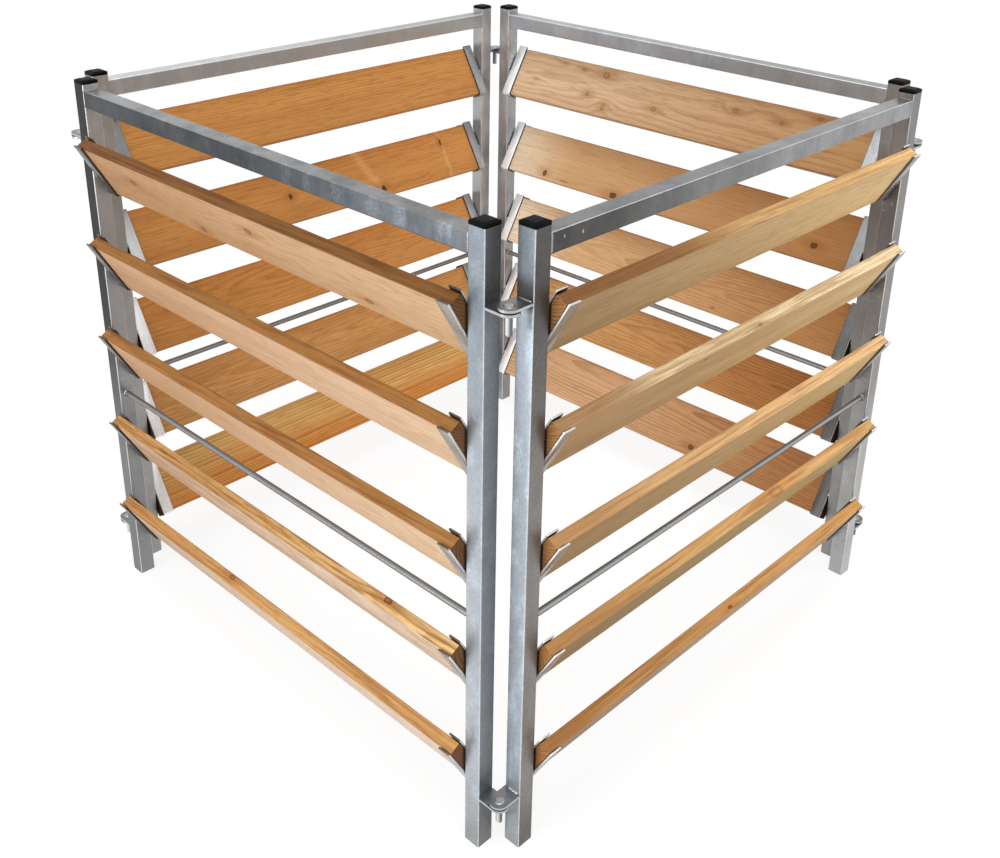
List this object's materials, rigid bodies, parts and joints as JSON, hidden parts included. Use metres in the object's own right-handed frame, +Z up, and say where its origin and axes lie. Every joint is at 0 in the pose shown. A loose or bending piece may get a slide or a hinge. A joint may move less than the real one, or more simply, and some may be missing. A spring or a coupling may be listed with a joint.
{
  "type": "compost bin",
  "caption": "Open square compost bin of galvanised steel tube panels hooked together at the corners, with tilted larch slats that lift out of bent strap holders.",
  "frame": {"origin": "on the floor at the middle of the bin", "axes": "+Z up, -Y out through the front panel, +X out through the right panel"},
  "size_m": [1.1372, 1.1372, 1.007],
  "materials": {
    "galvanised_steel": "hot-dip galvanised, dull with a soft spangle",
    "larch": "planed, untreated, with fine grain and small knots",
    "black_plastic": "moulded, slightly glossy"
  },
  "bodies": {
    "back_panel": {"back_pin_post": "galvanised_steel", "back_eye_post": "galvanised_steel", "back_top_rail": "galvanised_steel", "back_tie_rod": "galvanised_steel", "back_pin_holders": "galvanised_steel", "back_eye_holders": "galvanised_steel", "back_post_caps": "black_plastic", "back_pin_plates": "galvanised_steel", "back_eye_plates": "galvanised_steel", "back_hinge_pins": "galvanised_steel"},
    "left_panel": {"left_pin_post": "galvanised_steel", "left_eye_post": "galvanised_steel", "left_top_rail": "galvanised_steel", "left_tie_rod": "galvanised_steel", "left_pin_holders": "galvanised_steel", "left_eye_holders": "galvanised_steel", "left_post_caps": "black_plastic", "left_pin_plates": "galvanised_steel", "left_eye_plates": "galvanised_steel", "left_hinge_pins": "galvanised_steel"},
    "right_panel": {"right_pin_post": "galvanised_steel", "right_eye_post": "galvanised_steel", "right_top_rail": "galvanised_steel", "right_tie_rod": "galvanised_steel", "right_pin_holders": "galvanised_steel", "right_eye_holders": "galvanised_steel", "right_post_caps": "black_plastic", "right_pin_plates": "galvanised_steel", "right_eye_plates": "galvanised_steel", "right_hinge_pins": "galvanised_steel"},
    "front_panel": {"front_pin_post": "galvanised_steel", "front_eye_post": "galvanised_steel", "front_top_rail": "galvanised_steel", "front_tie_rod": "galvanised_steel", "front_pin_holders": "galvanised_steel", "front_eye_holders": "galvanised_steel", "front_post_caps": "black_plastic", "front_pin_plates": "galvanised_steel", "front_eye_plates": "galvanised_steel", "front_hinge_pins": "galvanised_steel"},
    "front_slat_1": {"front_slat_1": "larch"},
    "front_slat_2": {"front_slat_2": "larch"},
    "front_slat_3": {"front_slat_3": "larch"},
    "front_slat_4": {"front_slat_4": "larch"},
    "front_slat_5": {"front_slat_5": "larch"},
    "right_slat_1": {"right_slat_1": "larch"},
    "right_slat_2": {"right_slat_2": "larch"},
    "right_slat_3": {"right_slat_3": "larch"},
    "right_slat_4": {"right_slat_4": "larch"},
    "right_slat_5": {"right_slat_5": "larch"},
    "back_slat_1": {"back_slat_1": "larch"},
    "back_slat_2": {"back_slat_2": "larch"},
    "back_slat_3": {"back_slat_3": "larch"},
    "back_slat_4": {"back_slat_4": "larch"},
    "back_slat_5": {"back_slat_5": "larch"},
    "left_slat_1": {"left_slat_1": "larch"},
    "left_slat_2": {"left_slat_2": "larch"},
    "left_slat_3": {"left_slat_3": "larch"},
    "left_slat_4": {"left_slat_4": "larch"},
    "left_slat_5": {"left_slat_5": "larch"}
  },
  "joints": [
    {"name": "left_fold", "type": "hinge", "parent": "back_panel", "child": "left_panel", "pos_m": [-0.523, 0.523, 0], "axis": [0, 0, 1], "range_deg": [-20, 20]},
    {"name": "right_fold", "type": "hinge", "parent": "back_panel", "child": "right_panel", "pos_m": [0.523, 0.523, 0], "axis": [0, 0, 1], "range_deg": [-20, 20]},
    {"name": "front_fold", "type": "hinge", "parent": "left_panel", "child": "front_panel", "pos_m": [-0.523, -0.523, 0], "axis": [0, 0, 1], "range_deg": [-20, 20]},
    {"name": "front_slat_1_lift", "type": "slide", "parent": "front_panel", "child": "front_slat_1", "axis": [0, -0.5, 0.866], "range_m": [0, 0.115]},
    {"name": "front_slat_2_lift", "type": "slide", "parent": "front_panel", "child": "front_slat_2", "axis": [0, -0.5, 0.866], "range_m": [0, 0.115]},
    {"name": "front_slat_3_lift", "type": "slide", "parent": "front_panel", "child": "front_slat_3", "axis": [0, -0.5, 0.866], "range_m": [0, 0.115]},
    {"name": "front_slat_4_lift", "type": "slide", "parent": "front_panel", "child": "front_slat_4", "axis": [0, -0.5, 0.866], "range_m": [0, 0.115]},
    {"name": "front_slat_5_lift", "type": "slide", "parent": "front_panel", "child": "front_slat_5", "axis": [0, -0.5, 0.866], "range_m": [0, 0.115]},
    {"name": "right_slat_1_lift", "type": "slide", "parent": "right_panel", "child": "right_slat_1", "axis": [0.5, 0, 0.866], "range_m": [0, 0.115]},
    {"name": "right_slat_2_lift", "type": "slide", "parent": "right_panel", "child": "right_slat_2", "axis": [0.5, 0, 0.866], "range_m": [0, 0.115]},
    {"name": "right_slat_3_lift", "type": "slide", "parent": "right_panel", "child": "right_slat_3", "axis": [0.5, 0, 0.866], "range_m": [0, 0.115]},
    {"name": "right_slat_4_lift", "type": "slide", "parent": "right_panel", "child": "right_slat_4", "axis": [0.5, 0, 0.866], "range_m": [0, 0.115]},
    {"name": "right_slat_5_lift", "type": "slide", "parent": "right_panel", "child": "right_slat_5", "axis": [0.5, 0, 0.866], "range_m": [0, 0.115]},
    {"name": "back_slat_1_lift", "type": "slide", "parent": "back_panel", "child": "back_slat_1", "axis": [0, 0.5, 0.866], "range_m": [0, 0.115]},
    {"name": "back_slat_2_lift", "type": "slide", "parent": "back_panel", "child": "back_slat_2", "axis": [0, 0.5, 0.866], "range_m": [0, 0.115]},
    {"name": "back_slat_3_lift", "type": "slide", "parent": "back_panel", "child": "back_slat_3", "axis": [0, 0.5, 0.866], "range_m": [0, 0.115]},
    {"name": "back_slat_4_lift", "type": "slide", "parent": "back_panel", "child": "back_slat_4", "axis": [0, 0.5, 0.866], "range_m": [0, 0.115]},
    {"name": "back_slat_5_lift", "type": "slide", "parent": "back_panel", "child": "back_slat_5", "axis": [0, 0.5, 0.866], "range_m": [0, 0.115]},
    {"name": "left_slat_1_lift", "type": "slide", "parent": "left_panel", "child": "left_slat_1", "axis": [-0.5, 0, 0.866], "range_m": [0, 0.115]},
    {"name": "left_slat_2_lift", "type": "slide", "parent": "left_panel", "child": "left_slat_2", "axis": [-0.5, 0, 0.866], "range_m": [0, 0.115]},
    {"name": "left_slat_3_lift", "type": "slide", "parent": "left_panel", "child": "left_slat_3", "axis": [-0.5, 0, 0.866], "range_m": [0, 0.115]},
    {"name": "left_slat_4_lift", "type": "slide", "parent": "left_panel", "child": "left_slat_4", "axis": [-0.5, 0, 0.866], "range_m": [0, 0.115]},
    {"name": "left_slat_5_lift", "type": "slide", "parent": "left_panel", "child": "left_slat_5", "axis": [-0.5, 0, 0.866], "range_m": [0, 0.115]}
  ],
  "couplings": [
    {"joint": "right_fold", "follows": "left_fold", "ratio": 1},
    {"joint": "front_fold", "follows": "left_fold", "ratio": -1}
  ]
}
